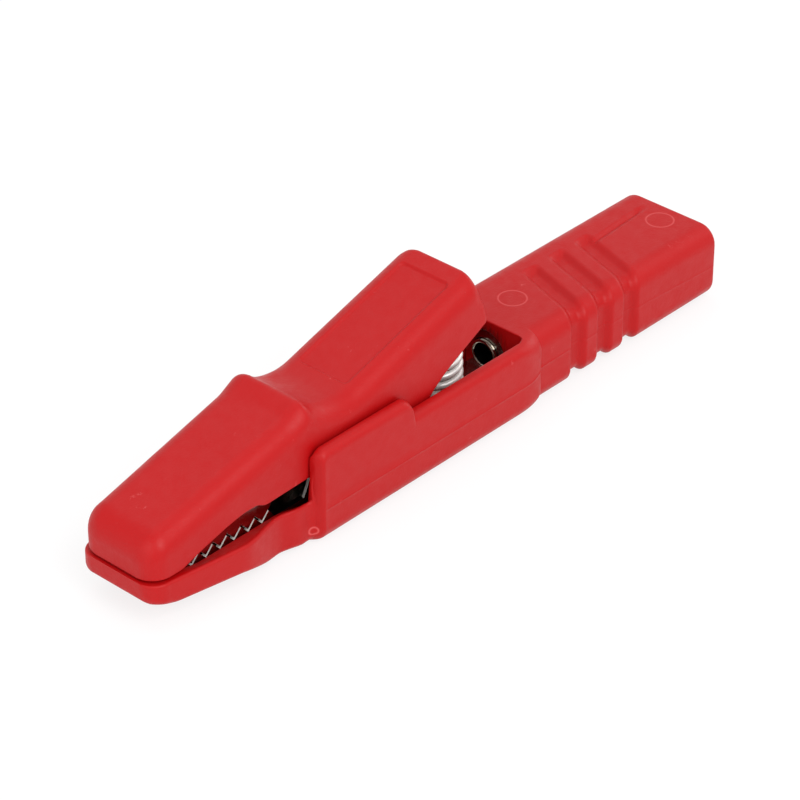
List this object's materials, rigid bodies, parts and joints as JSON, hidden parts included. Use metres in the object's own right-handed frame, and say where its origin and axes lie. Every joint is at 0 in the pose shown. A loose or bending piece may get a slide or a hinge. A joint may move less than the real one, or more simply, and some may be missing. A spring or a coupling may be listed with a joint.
{
  "type": "crocodile clip",
  "caption": "Insulated crocodile clip: two moulded shells over toothed metal jaws, a thumb lever with a return spring, and a handle that holds a plug socket.",
  "frame": {"origin": "middle of the clip's length and width, on the plane its flat underside rests on", "axes": "+X from the nose to the socket end, +Z from the underside to the thumb lever, Y across the clip"},
  "size_m": [0.0826, 0.014, 0.0186],
  "materials": {
    "red_polyamide": "fine spark-eroded texture",
    "nickelled_steel": "bright nickel plate",
    "plain_steel": "turned",
    "spring_steel": "bright drawn wire",
    "nickelled_brass": "nickel plate"
  },
  "bodies": {
    "base": {"lower_shell": "red_polyamide", "lower_jaw": "nickelled_steel", "socket_tube": "nickelled_brass", "hinge_pin": "plain_steel", "return_spring": "spring_steel"},
    "lever": {"upper_shell": "red_polyamide", "upper_jaw": "nickelled_steel"}
  },
  "joints": [
    {"name": "lever_hinge", "type": "hinge", "parent": "base", "child": "lever", "pos_m": [-0.01325, 0, 0.0072], "axis": [0, 1, 0], "range_deg": [0, 13], "stiffness_Nm_per_rad": 0.3, "springref_deg": -14.32, "deforming": ["return_spring"]}
  ]
}
